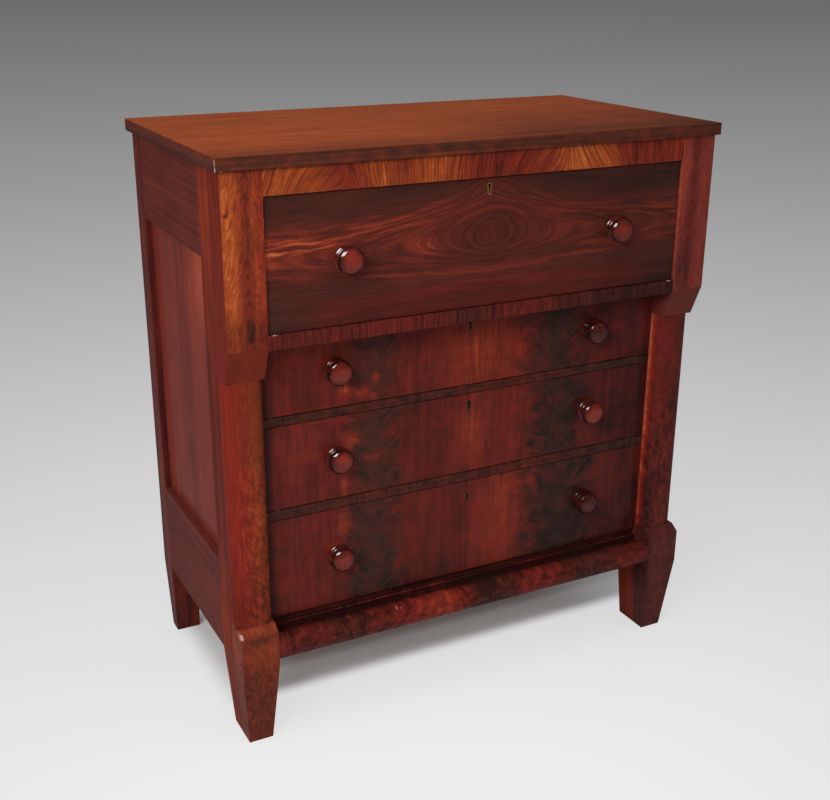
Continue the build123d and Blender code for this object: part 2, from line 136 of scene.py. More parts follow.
class Tree:
    """The nodes of a material or a world, made as they are asked for."""

    def __init__(self, owner: Material | World) -> None:
        """Empty the node tree of a material or a world.

        Args:
            owner: the material or the world to fill.
        """
        owner.use_nodes = True
        self.owner = owner
        self.nodes = owner.node_tree.nodes
        self.links = owner.node_tree.links
        self.nodes.clear()

    def node(
        self,
        kind: str,
        settings: dict[str, Any] | None = None,
        inputs: dict[int | str, Any] | None = None,
        out: int | str = 0,
    ) -> Value:
        """Make one node.

        Args:
            kind: the node's type.
            settings: its properties, set before the sockets; "stops" fills a colour ramp.
            inputs: numbers, colours or values for its sockets, by name or place.
            out: which output to give back, by name or place.

        Returns:
            The chosen output.
        """
        made = self.nodes.new(kind)
        for key, value in (settings or {}).items():
            if key == "stops":
                self.fill_ramp(made.color_ramp, value)
            else:
                setattr(made, key, value)
        for key, value in (inputs or {}).items():
            if isinstance(value, Value):
                self.links.new(value.socket, made.inputs[key])
            else:
                made.inputs[key].default_value = value
        return Value(self, made.outputs[out])

    @staticmethod
    def fill_ramp(ramp: bpy.types.ColorRamp, stops: Stops) -> None:
        """Put stops on a colour ramp.

        Args:
            ramp: the ramp of a new node.
            stops: places from 0 to 1, each with its linear colour.
        """
        while len(ramp.elements) < len(stops):
            ramp.elements.new(1.0)
        for element, (place, colour) in zip(ramp.elements, stops):
            element.position = place
            element.color = colour

    def maths(self, operation: str, *terms: Term) -> Value:
        """Combine numbers with one Math node."""
        return self.node("ShaderNodeMath", {"operation": operation}, dict(enumerate(terms)))

    def vector(self, x: Term, y: Term, z: Term) -> Value:
        """Join three numbers into a vector."""
        return self.node("ShaderNodeCombineXYZ", None, {0: x, 1: y, 2: z})

    def noise(self, x: Term, y: Term, z: Term, detail: float = 3.0, rough: float = 0.55) -> Value:
        """Smooth random values about nought, one cell for each unit of the coordinates.

        Args:
            x: first coordinate, already divided by the cell's size.
            y: second coordinate.
            z: third coordinate.
            detail: octaves of finer noise.
            rough: how strong each finer octave is.

        Returns:
            The noise, mostly within a quarter of nought.
        """
        inputs = {"Vector": self.vector(x, y, z), "Scale": 1.0, "Detail": detail, "Roughness": rough}
        return self.node("ShaderNodeTexNoise", None, inputs) - 0.5

    def rise(self, value: Value, low: float, high: float) -> Value:
        """A smooth step.

        Args:
            value: what is looked at.
            low: where the step is 0.
            high: where it is 1; this may be the smaller of the two.

        Returns:
            The step, from 0 to 1.
        """
        inputs = {0: value, 1: min(low, high), 2: max(low, high)}
        step = self.node("ShaderNodeMapRange", {"interpolation_type": "SMOOTHSTEP"}, inputs)
        return step if high >= low else 1.0 - step

    def bell(self, value: Value) -> Value:
        """A bell curve: exp(-value squared)."""
        return self.maths("EXPONENT", -1.0 * value ** 2.0)

    def crisp(self, noise: Value, edge: float = 0.13) -> Value:
        """Sharpen noise into lines: a smooth step between plus and minus edge, about nought."""
        return self.rise(noise, -edge, edge) - 0.5

    def ramp(self, share: Value, stops: Stops) -> Value:
        """Read a colour ramp at a value from 0 to 1."""
        return self.node("ShaderNodeValToRGB", {"stops": stops}, {0: share})

    def mix(self, first: Any, second: Any, share: Term) -> Value:
        """Mix two colours by a share of the second."""
        return self.node("ShaderNodeMix", {"data_type": "RGBA"}, {0: share, 6: first, 7: second}, out=2)

    def bump(self, height: Value, strength: float, depth: float) -> Value:
        """A normal that is bent by a height, whose full depth is in metres."""
        inputs = {"Strength": strength, "Distance": depth, "Height": height}
        return self.node("ShaderNodeBump", None, inputs)

    def direct(self) -> Value:
        """Tell rays from the camera, from polish and through glass from all others.

        Returns:
            1 for those rays and 0 for the others.
        """
        paths = self.node("ShaderNodeLightPath").socket.node.outputs
        kinds = ("Camera", "Glossy", "Transmission")
        camera, polish, glass = (Value(self, paths[f"Is {kind} Ray"]) for kind in kinds)
        return camera + polish + glass

    def surface(self, shader: Value, output: str = "ShaderNodeOutputMaterial") -> None:
        """Make the output node and join a shader to it."""
        self.links.new(shader.socket, self.nodes.new(output).inputs[0])

    def finished(self, inputs: dict[int | str, Any]) -> Material:
        """Give the material its main shader, with these sockets, and hand it back."""
        self.surface(self.node("ShaderNodeBsdfPrincipled", None, inputs))
        return self.owner


class WoodTree(Tree):
    """A tree with the chest's own coordinates in millimetres."""

    def __init__(self, owner: Material) -> None:
        """Read object coordinates and split them.

        Args:
            owner: the material to fill.
        """
        super().__init__(owner)
        metres = self.node("ShaderNodeTexCoord", out="Object")
        place = self.node("ShaderNodeVectorMath", {"operation": "SCALE"}, {0: metres, "Scale": 1 / MM})
        parts = self.node("ShaderNodeSeparateXYZ", None, {0: place}).socket.node.outputs
        self.x, y, self.z = (Value(self, part) for part in parts)
        self.d = y + FRONT_PLANE

    def along(self, grain: "Grain") -> tuple[Value, Value, Value]:
        """Put the coordinates in the order of the grain.

        Args:
            grain: the way that the fibres run.

        Returns:
            The two coordinates across the fibres, then the one along them.
        """
        return {
            Grain.ACROSS: (self.d, self.z, self.x),
            Grain.BACK: (self.x, self.z, self.d),
            Grain.UP: (self.x, self.d, self.z),
        }[grain]

    def streaks(self, grain: "Grain", wide: float, long: float, seed: float = 0.0) -> Value:
        """Noise drawn out along the grain.

        Args:
            grain: the way that the fibres run.
            wide: a streak's width in millimetres.
            long: its length in millimetres.
            seed: shifts the pattern, so that pieces differ.

        Returns:
            The noise about nought.
        """
        first, second, run = self.along(grain)
        return self.noise(first / wide + seed, second / wide, run / long)

    def glow(self, patch: "Patch") -> Value:
        """A soft spot: its strength times exp(-sum of squares of distance over radius).

        Args:
            patch: where it is and how strong.

        Returns:
            The spot's value, nought away from it.
        """
        spans = ((self.x, patch.x), (self.d, patch.d), (self.z, patch.z))
        offs = [(axis - span[0]) / span[1] for axis, span in spans if span]
        squares = [off * off for off in offs]
        return patch.strength * self.maths("EXPONENT", -1.0 * sum(squares[1:], squares[0]))

    def glows(self, patches: tuple["Patch", ...]) -> Term:
        """The sum of several spots."""
        return sum((self.glow(patch) for patch in patches), 0.0)


# ---- finishes ----


class Grain(Enum):
    """The way that the fibres run."""

    ACROSS = "across"
    BACK = "back"
    UP = "up"


@dataclass(frozen=True)
class Patch:
    """A soft spot of lighter or darker wood, also used for painted light and shade where so marked; each span
    is a centre and a radius in mm.
    """

    strength: float
    x: Span | None = None
    d: Span | None = None
    z: Span | None = None


@dataclass(frozen=True)
class Stain:
    """The colours that a wood takes, from its darkest fibre to its palest."""

    steps: tuple[Rgb, ...]

    def stops(self) -> Stops:
        """The colours as evenly spaced stops of a ramp."""
        last = len(self.steps) - 1
        return [(i / last, linear(step)) for i, step in enumerate(self.steps)]


MAHOGANY = Stain(((18, 10, 8), (48, 24, 19), (82, 35, 24), (114, 48, 27), (146, 67, 31), (180, 100, 50)))
RED_MAHOGANY = Stain(((20, 10, 9), (52, 23, 20), (86, 31, 25), (112, 41, 27), (140, 58, 31), (172, 92, 50)))
SIDE_MAHOGANY = Stain(((30, 13, 12), (62, 28, 25), (94, 40, 34), (120, 50, 39), (146, 68, 48), (172, 98, 74)))
OLD_OAK = Stain(((64, 42, 26), (98, 68, 44), (130, 94, 62), (156, 118, 82), (178, 140, 102)))
OLD_PINE = Stain(((54, 32, 20), (92, 58, 36), (130, 86, 54), (158, 112, 74), (180, 138, 100)))
DUSK = Stain(((14, 11, 9), (40, 28, 23), (62, 38, 30), (90, 46, 35), (122, 58, 40), (150, 84, 54)))
HONEY = Stain(((20, 11, 8), (54, 27, 17), (92, 42, 24), (124, 58, 27), (152, 80, 35), (186, 116, 58)))
BLUSH = Stain(((20, 8, 8), (56, 18, 16), (90, 26, 22), (118, 33, 26), (144, 48, 34), (176, 88, 60)))
# pale wood of the chips, also used for painted highlights
BARE_WOOD_AND_HIGHLIGHT: Rgb = (186, 160, 142)
WEAR_AND_SHADE = "wear"  # the attribute of the knobs that says how bare their polish is, and where shade is painted: dark in the grooves and round the dome's rim


@dataclass
class Figure:
    """A wood's tone from 0 to 1, and how far it turns to a dusky brown or to a deep red."""

    tone: Value
    dusk: Value | None = None
    blush: Value | None = None


@dataclass(frozen=True)
class Timber:
    """A wooden finish: a figure between 0 and 1 turned into colours, under its polish.

    Base is the mean tone; rough, shine and coat belong to the polish, and relief to its bumps.
    Where a veneer's face is given, in mm behind the front plane, plain wood shows behind it.
    Chips are spots where the veneer is lost and bare wood shows; the same pale colour also paints highlights,
    such as the line along the roll's fillet.
    """

    name: str
    stain: Stain = MAHOGANY
    base: float = 0.45
    rough: float = 0.3
    shine: float = 0.0
    coat: float = 0.13
    seed: float = 0.0
    relief: float = 0.25
    face: float | None = None
    patches: tuple[Patch, ...] = ()
    chips_and_highlights: tuple[Patch, ...] = ()

    def figure(self, wood: WoodTree) -> Figure:
        """The figure, which every kind of timber works out in its own way."""
        raise NotImplementedError

    def core(self, wood: WoodTree) -> Value:
        """The solid wood behind a veneer: plain grain across."""
        return 0.36 + 0.5 * wood.streaks(Grain.ACROSS, 1.8, 70.0, self.seed + 9.0)

    def material(self) -> Material:
        """Build the material.

        Returns:
            The finished material.
        """
        wood = WoodTree(bpy.data.materials.new(self.name))
        figure = self.figure(wood)
        tone = figure.tone
        if self.face is not None:
            glue = self.face + VENEER
            behind = wood.rise(wood.d, glue, glue + 0.6)
            tone = tone + (self.core(wood) - tone) * behind
        cloud = wood.noise(wood.x / 34.0, wood.d / 34.0, wood.z / 34.0, 4.0)
        colour = wood.ramp(tone, self.stain.stops())
        for turn, stain in ((figure.blush, BLUSH), (figure.dusk, DUSK)):
            if turn is not None:
                colour = wood.mix(colour, wood.ramp(tone, stain.stops()), turn)
        # bare wood where chips are, and painted highlights laid the same way
        if self.chips_and_highlights:
            crumbs = wood.noise(wood.x / 2.4, wood.d / 3.0, wood.z / 5.0, 3.0)
            bare_and_painted_light = 0.8 * wood.rise(wood.glows(self.chips_and_highlights) + 1.4 * crumbs, 0.56, 0.7)
            colour = wood.mix(colour, linear(BARE_WOOD_AND_HIGHLIGHT), bare_and_painted_light)
        inputs = {
            "Base Color": colour,
            "Roughness": self.rough + 0.25 * cloud - 0.06 * tone,
            "Specular IOR Level": self.shine,
            "Coat Weight": self.coat,
            "Coat Roughness": 0.16,
            "Normal": wood.bump(tone, self.relief, 0.4 * MM),
        }
        return wood.finished(inputs)


@dataclass(frozen=True)
class PlainTimber(Timber):
    """Straight-grained wood with faint mottle and soft patches.

    Wide and long are a fibre's size in mm, swing and mottle the strength of fibres and clouds.
    Where top is given, the edges below that height have dusky blots instead of the patches.
    """

    grain: Grain = Grain.UP
    wide: float = 3.0
    long: float = 120.0
    swing: float = 0.55
    mottle: float = 0.3
    top: float | None = None

    def figure(self, wood: WoodTree) -> Figure:
        """Broad streaks, fine streaks and clouds added up.

        Args:
            wood: the tree to build in.

        Returns:
            The tone, and the blots' dusk and red on the edges.
        """
        broad = wood.streaks(self.grain, self.wide * 4, self.long * 2, self.seed)
        fine = wood.streaks(self.grain, self.wide * 0.5, self.long * 0.5, self.seed + 3.0)
        first, second, run = wood.along(self.grain)
        clouds = wood.noise(first / 60.0 + self.seed, second / 60.0, run / 90.0, 2.0)
        tone = self.base + self.swing * (broad + 0.7 * fine) + self.mottle * clouds
        if self.top is None:
            return Figure(tone + wood.glows(self.patches))
        edge = wood.rise(wood.z, self.top, self.top - 0.8)
        blots = wood.noise(wood.x / 26.0, wood.z / 20.0, self.seed, 4.0)
        tone = tone + wood.glows(self.patches) * (1.0 - edge) + (0.4 * blots - 0.15) * edge
        return Figure(tone, (0.6 - 1.2 * blots) * edge, 0.4 * edge)


@dataclass(frozen=True)
class Zone:
    """A stretch of cross-banding, up to an end in mm, with a tone and a lean of its stripes."""

    end: float
    tone: float
    lean: float = 0.0


@dataclass(frozen=True)
class CrossBanding(Timber):
    """Veneer laid across a rail in pieces, whose stripes lean this way and that.

    The stripes lean about the height middle; wide is a stripe's width and warp its wander, in mm.
    """

    start: float = -430.0
    zones: tuple[Zone, ...] = ()
    middle: float = 0.0
    wide: float = 2.6
    swing: float = 0.7
    mottle: float = 0.2
    dusk: float = 0.45
    warp: float = 5.0

    def table(self, wood: WoodTree, values: list[float]) -> Value:
        """One number for each zone, softly joined, read along the rail.

        Args:
            wood: the tree to build in.
            values: a number from 0 to 1 for each zone.

        Returns:
            The number at a point.
        """
        ends = [self.start] + [zone.end for zone in self.zones]
        length = ends[-1] - self.start
        middles = [((low + high) / 2 - self.start) / length for low, high in zip(ends, ends[1:])]
        stops = [(middle, (value, value, value, 1.0)) for middle, value in zip(middles, values)]
        return wood.ramp((wood.x - self.start) / length, stops)

    def figure(self, wood: WoodTree) -> Figure:
        """Stripes of noise in x, sheared by each zone's lean, over each zone's tone.

        Args:
            wood: the tree to build in.

        Returns:
            The tone, dusky in the darkest zones and red in the palest ones.
        """
        tones = self.table(wood, [zone.tone for zone in self.zones])
        leans = self.table(wood, [0.5 + zone.lean / 4 for zone in self.zones]) * 4.0 - 2.0
        warp = wood.noise(wood.x / 40.0 + self.seed, wood.z / 20.0, 0.0, 2.0)
        slid = wood.x - leans * (wood.z - self.middle) + self.warp * warp
        broad = wood.noise(slid / (self.wide * 3) + self.seed, wood.z / 120.0, wood.d / 120.0)
        fine = wood.noise(slid / (self.wide * 0.8), wood.z / 70.0, wood.d / 70.0)
        tone = tones + self.swing * (broad + 0.36 * wood.crisp(fine))
        tone = tone + self.mottle * wood.noise(wood.x / 24.0, wood.z / 10.0, self.seed, 4.0)
        tone = (tone + wood.glows(self.patches)).over(0.13)
        dark, pale = wood.rise(tones, 0.36, 0.2), wood.rise(tones, 0.62, 0.46)
        return Figure(tone, dark * self.dusk, 0.5 * pale)


@dataclass(frozen=True)
class FlameFront(Timber):
    """Book-matched crotch veneer: strands run like tents round an oval eye.

    Round the eye, at x and z, the lens is as high as roof above it and as keel below it, in mm.
    Its half width is eye_wide there, and grows with the distance times taper.
    """

    stain: Stain = RED_MAHOGANY
    face: float | None = 6.0
    eye: Span = (5.0, 941.0)
    eye_wide: float = 86.5
    taper: float = 1.12
    roof: float = 105.0
    keel: float = 66.0

    def figure(self, wood: WoodTree) -> Figure:
        """Noise on the contours of a lens that is pointed above, round below and oval inside.

        Args:
            wood: the tree to build in.

        Returns:
            The tone, dusky away from the lens and red in a strip below it.
        """
        x, z = wood.x, wood.z
        drift = wood.noise(x / 130.0 + self.seed, z / 70.0, 0.0, 2.0)
        ripple = wood.noise(x / 22.0, z / 9.0, 4.0 + self.seed, 2.0)
        away = abs(x - self.eye[0] + 26.0 * drift)
        lift = z - self.eye[1] + 18.0 * drift + 3.0 * ripple
        above = wood.rise(lift, -12.0, 12.0)
        near = away / (self.eye_wide + self.taper * away)
        tall = abs(lift) / (self.keel + (self.roof - self.keel) * above)
        oval = (near * near + tall * tall) ** 0.5
        bend = 2.1 - 0.95 * above * wood.rise(oval, 0.4, 0.85)
        lens = (near ** bend + tall ** bend) ** (1.0 / bend)
        broad = wood.noise(lens * 5.0 + self.seed, away / 170.0, lift / 130.0, 3.0)
        fine = wood.noise(lens * 17.0, away / 110.0, lift / 90.0, 3.0, 0.6)
        hair = wood.noise(lens * 52.0, away / 50.0, lift / 50.0, 3.0)
        strands = wood.rise(fine + 0.45 * hair, -0.17, 0.2)
        within = wood.rise(lens, 1.35, 0.9)
        band = wood.bell((lens - 0.86) / 0.14) * above * wood.rise(away, 5.0, 70.0)
        rim = wood.bell((lens - 1.0) / 0.03) * (1.0 - above)
        ground = self.base + 0.3 * broad + 0.2 * hair + 0.1 * drift
        lit = strands * (0.04 + 0.15 * within + 0.12 * band)
        lit = lit + wood.glows(self.patches) * (0.4 + 0.9 * strands)
        line = 0.14 * rim * wood.rise(away, 360.0, 200.0)
        below = wood.rise(lift, -62.0, -86.0) * wood.rise(away, 440.0, 280.0)
        tone = ground + lit + line + 0.015 * below
        return Figure(tone, (0.6 - 0.3 * within - 0.4 * lit) * (1.0 - 0.6 * below), 0.7 * below)


@dataclass(frozen=True)
class Plume:
    """A dark upright feather of crotch figure, whose barbs rise outwards.

    X is its middle, half its reach to each side and wide a barb's width, in mm. Depth is how
    much darker it is, and curl lifts the barbs.
    """

    x: float
    half: float
    depth: float = 0.04
    curl: float = 6.0
    wide: float = 9.0


@dataclass(frozen=True)
class PlumeFront(Timber):
    """Veneer with fine upright grain, broken by dark plumes, and joined at x = seam."""

    stain: Stain = RED_MAHOGANY
    face: float | None = 62.0
    plumes: tuple[Plume, ...] = ()
    seam: float = 1.0
    joint: float = 0.8

    def figure(self, wood: WoodTree) -> Figure:
        """Upright grain, and in each plume noise in height less a root of the distance off its line.

        Args:
            wood: the tree to build in.

        Returns:
            The tone, dusky inside the plumes and red in clouds, but not in the pale spots.
        """
        x, z = wood.x, wood.z
        drift = wood.noise(x / 90.0 + self.seed, z / 110.0, 0.0, 2.0)
        sway = wood.noise(x / 30.0, z / 18.0, self.seed, 4.0, 0.6)
        across = x + 16.0 * drift + 3.0 * sway
        broad = wood.noise(across / 12.0 + self.seed, z / 190.0, 0.0, 3.0)
        fine = wood.noise(across / 1.9, z / 90.0, 3.0, 3.0, 0.6)
        mottle = wood.noise(x / 36.0, z / 40.0, 8.0 + self.seed, 4.0)
        side_tone = 0.05 * wood.rise(x, self.seam, self.seam + 0.6)
        tone = self.base + side_tone + 0.3 * broad + 0.34 * fine + 0.34 * mottle + 0.2 * drift
        glow = wood.glows(self.patches)
        tone = tone + 0.12 * sway + glow * (1.0 + 2.0 * fine + 1.6 * sway)
        dusk = 0.0 * x  # nought, until each plume adds its own
        lazy = wood.noise(x / 60.0 + self.seed, z / 50.0, 6.0, 2.0)
        for plume in self.plumes:
            over = abs(x - plume.x + 50.0 * lazy)
            barb = (z - plume.curl * (over + 1.0) ** 0.62 + 36.0 * lazy) / plume.wide
            barbs = wood.crisp(wood.noise(barb + plume.x, over / 40.0, self.seed, 3.0, 0.6), 0.3)
            off = (over + plume.half * (0.9 * sway - 0.3 * barbs)) / plume.half
            inside = wood.rise(off, 1.5, 0.7)
            edge = wood.rise(off, 0.1, 0.9)
            dark = self.base - plume.depth + 0.4 * sway + 0.3 * mottle + (0.1 + 0.22 * edge) * barbs
            tone = tone + (dark + 0.7 * glow - tone) * inside
            brown = 0.7 - 0.3 * edge - 1.8 * mottle - (0.3 + 0.6 * edge) * barbs - 2.0 * glow
            dusk = dusk.over(inside * brown)
        tone = tone - 0.16 * wood.bell((x - self.seam) / self.joint)
        return Figure(tone, dusk, 0.25 + 2.2 * mottle - 1.6 * glow.over(0.0))


@dataclass(frozen=True)
class FeatherBlock(Timber):
    """Crotch veneer on an upper block: steep barbs fall away from a dark middle band.

    Middle, flank and inner are places across, cant and low are heights, and band is half the
    band's width, all in mm. Fall is the slope of the barbs.
    """

    middle: float = 462.0
    fall: float = 2.0
    line_depth: float = 0.34
    contrast: float = 0.5
    cant: float = 791.0
    flank: float = 499.2
    plain: float = 0.5
    band: float = 12.0
    red: float = 0.45
    low: Span = (835.0, 775.0)
    inner: Span = (452.0, 432.0)

    def figure(self, wood: WoodTree) -> Figure:
        """Noise in height plus slope times distance from the line, with ripples low down.

        Below the cant's upper edge the wood is plain, and on the flank it has straight grain.

        Args:
            wood: the tree to build in.

        Returns:
            The tone, a little dusky in the dark band, and red there and at the inner edge.
        """
        x, z = wood.x, wood.z
        drift = wood.noise(x / 40.0 + self.seed, z / 60.0, 0.0, 3.0)
        sway = wood.noise(x / 9.0, z / 22.0, self.seed, 4.0)
        side = abs(x - self.middle + 14.0 * drift)
        barb = z + (self.fall + 3.0 * drift) * side + 24.0 * sway
        broad = wood.noise(barb / 40.0 + self.seed, side / 16.0, wood.d / 60.0, 3.0)
        fine = wood.noise(barb / 13.0, side / 7.0, wood.d / 40.0, 3.0, 0.62)
        strokes = 0.5 * wood.crisp(fine, 0.2) + 0.4 * fine
        low = wood.rise(z, *self.low)
        ripples = wood.noise(z / 5.0 + 0.1 * side, x / 60.0, 5.0, 2.0)
        dark = wood.bell((side + 16.0 * sway) / self.band)
        tone = self.base + 0.3 * broad + self.contrast * strokes + 0.5 * low * ripples
        depth = self.line_depth * (1.0 - 0.6 * low)
        tone = tone - depth * dark * (1.0 + 2.4 * sway) + wood.glows(self.patches)
        cant = wood.rise(z, self.cant + 1.0, self.cant - 1.0)
        plain = self.plain + 0.25 * fine + 0.3 * drift
        flank = wood.rise(abs(x), self.flank, self.flank + 0.4)
        straight = 0.47 + 0.5 * wood.streaks(Grain.UP, 3.0, 90.0, self.seed)
        tone = tone + (straight - tone) * flank
        veneer = (1.0 - cant) * (1.0 - flank)
        inner = wood.rise(abs(x), *self.inner)
        blush = (0.5 * dark + self.red * inner + 1.2 * drift) * veneer + 0.6 * flank
        blush = blush + self.red * cant
        return Figure(tone + (plain - tone) * cant, 0.2 * dark * veneer, blush)


@dataclass(frozen=True)
class SwirlPilaster(Timber):
    """Mottled veneer on a pilaster: upright lines on its round, swirls on its front.

    The round begins at round_x; lower and red are where the swirls and the red set in, in mm.
    """

    round_x: float = 482.0
    swirl: float = 1.0
    lower: Span = (640.0, 480.0)
    red: Span = (474.0, 484.0)
    red_share: float = 0.7

    def figure(self, wood: WoodTree) -> Figure:
        """Upright lines mixed by x and height with noise that is warped by noise.

        Args:
            wood: the tree to build in.

        Returns:
            The tone, red towards the side that the field red gives.
        """
        x, z = wood.x, wood.z
        drift = wood.noise(x / 40.0 + self.seed, z / 60.0, wood.d / 40.0, 3.0)
        lines = wood.noise(x / 2.4 + 2.0 * drift, wood.d / 2.4, z / 120.0, 3.0)
        bent = (z + 1.1 * x) / 9.0 + 6.0 * drift
        curl = wood.noise(bent, (x - z) / 60.0 + drift, wood.d / 40.0 + self.seed, 4.0, 0.62)
        blots = wood.crisp(wood.noise(x / 9.0, z / 20.0 + drift, wood.d / 20.0 + self.seed, 5.0, 0.66))
        outer = wood.rise(abs(x), self.round_x - 8.0, self.round_x + 6.0)
        lower = wood.rise(z, *self.lower)
        front = (0.4 + 0.6 * lower) * (1.0 - 0.7 * outer)
        tone = self.base + 0.5 * lines * (0.5 + 0.7 * outer)
        tone = tone + self.swirl * (0.5 * curl + 0.22 * blots) * front
        blush = self.red_share * wood.rise(abs(x), *self.red) + 0.8 * drift
        return Figure(tone + 0.2 * drift + wood.glows(self.patches), None, blush)


@dataclass(frozen=True)
class Metal:
    """Aged brass or iron: bright metal under a broken film of tarnish."""

    name: str
    bright: Rgb
    tarnish: Rgb
    cover: float = 0.5
    rough: float = 0.32

    def material(self) -> Material:
        """Build the material.

        Returns:
            The finished material.
        """
        tree = WoodTree(bpy.data.materials.new(self.name))
        blot = tree.noise(tree.x / 6.0, tree.d / 6.0, tree.z / 6.0, 5.0, 0.6)
        scratch = tree.noise(tree.x / 0.7, tree.d / 5.0, tree.z / 5.0, 2.0)
        film = tree.rise(blot + 0.5 * scratch, 0.35 - self.cover, 0.65 - self.cover)
        inputs = {
            "Base Color": tree.mix(linear(self.bright), linear(self.tarnish), film),
            "Metallic": 1.0 - 0.35 * film,
            "Roughness": self.rough + 0.28 * film + 0.2 * scratch,
            "Normal": tree.bump(blot, 0.2, 0.2 * MM),
        }
        return tree.finished(inputs)


@dataclass(frozen=True)
class TurnedWood:
    """Dark polished mahogany of the knobs, worn paler where fingers pull; shade is painted dark into the
    grooves and round the rim of the dome.
    """

    name: str = "turned mahogany"
    dark: Rgb = (34, 12, 9)
    worn: Rgb = (116, 38, 28)

    def material(self) -> Material:
        """Build the material.

        Returns:
            The finished material.
        """
        tree = WoodTree(bpy.data.materials.new(self.name))
        grain = tree.noise(tree.x / 2.0, tree.z / 9.0, tree.d / 2.0, 3.0, 0.6)
        cloud = tree.noise(tree.x / 18.0, tree.z / 18.0, tree.d / 18.0, 3.0)
        # painted shade: the attribute is low in the grooves and at the dome's rim, which turns them dark and
        # takes the coat off there
        wear = tree.node("ShaderNodeAttribute", {"attribute_name": WEAR_AND_SHADE}, out="Fac")
        bare_and_painted_light = wear + 1.2 * grain + 1.2 * cloud
        inputs = {
            "Base Color": tree.mix(linear(self.dark), linear(self.worn), bare_and_painted_light),
            "Roughness": 0.34 + 0.3 * cloud,
            "Specular IOR Level": 0.0,
            "Coat Weight": 0.4 * tree.rise(wear, 0.0, 0.1),
            "Coat Roughness": 0.05,
            "Normal": tree.bump(grain, 0.12, 0.3 * MM),
        }
        return tree.finished(inputs)


# ---- surfaces ----


@dataclass(frozen=True)
class Lathe:
    """A closed surface turned about an axis: profile rows between two poles."""

    radius: np.ndarray
    height: np.ndarray
    steps: int = 64

    def points(self) -> np.ndarray:
        """Rows of points: height along local Z, radius times cosine and sine of the turn.

        Returns:
            The two poles first, then every ring, as one array of points.
        """
        turn = np.linspace(0.0, 2 * np.pi, self.steps, endpoint=False)
        radius, height = self.radius[1:-1, None], self.height[1:-1, None]
        rings = np.stack((radius * np.cos(turn), radius * np.sin(turn), height + 0.0 * turn), -1)
        poles = np.array([[0.0, 0.0, self.height[0]], [0.0, 0.0, self.height[-1]]])
        return np.concatenate((poles, rings.reshape(-1, 3)))

    def spread(self, rows: np.ndarray) -> np.ndarray:
        """Give each point its row's value, in the order of the points."""
        return np.concatenate((rows[[0, -1]], np.repeat(rows[1:-1], self.steps)))

    def faces(self) -> list[list[int]]:
        """Quads between neighbouring rings and a fan of triangles at each pole.

        Returns:
            The faces, each a list of places in the array of points.
        """
        rows = len(self.radius) - 2
        step = np.arange(self.steps)
        after = (step + 1) % self.steps
        row = 2 + self.steps * np.arange(rows - 1)[:, None]
        quads = np.stack((row + step, row + after, row + self.steps + after, row + self.steps + step), -1)
        last = 2 + self.steps * (rows - 1)
        first_fan = np.stack((0 * step, 2 + after, 2 + step), -1)
        last_fan = np.stack((0 * step + 1, last + step, last + after), -1)
        return quads.reshape(-1, 4).tolist() + first_fan.tolist() + last_fan.tolist()


def placed(
    name: str, points: np.ndarray, faces: list[list[int]], places: list[Matrix]
) -> Object:
    """Make one smooth object from copies of a surface, with every place in its mesh.

    Args:
        name: the piece's name.
        points: the surface's points.
        faces: its faces.
        places: one matrix for each copy.

    Returns:
        The new object, at the origin.
    """
    flat = np.c_[points, np.ones(len(points))]
    moved = [(flat @ np.array(place).T)[:, :3] for place in places]
    joined = [[i + len(points) * k for i in face] for k in range(len(places)) for face in faces]
    mesh = bpy.data.meshes.new(name)
    mesh.from_pydata(np.concatenate(moved).tolist(), [], joined)
    mesh.polygons.foreach_set("use_smooth", np.full(len(mesh.polygons), True))
    mesh.update()
    made = bpy.data.objects.new(name, mesh)
    bpy.context.scene.collection.objects.link(made)
    return made


def facing(place: Point, towards: Vector) -> Matrix:
    """A matrix that stands a surface's Z axis at a place along a direction."""
    turn = towards.to_track_quat("Z", "Y").to_matrix().to_4x4()
    return Matrix.Translation(Vector(place)) @ turn


# ---- sub-assemblies ----


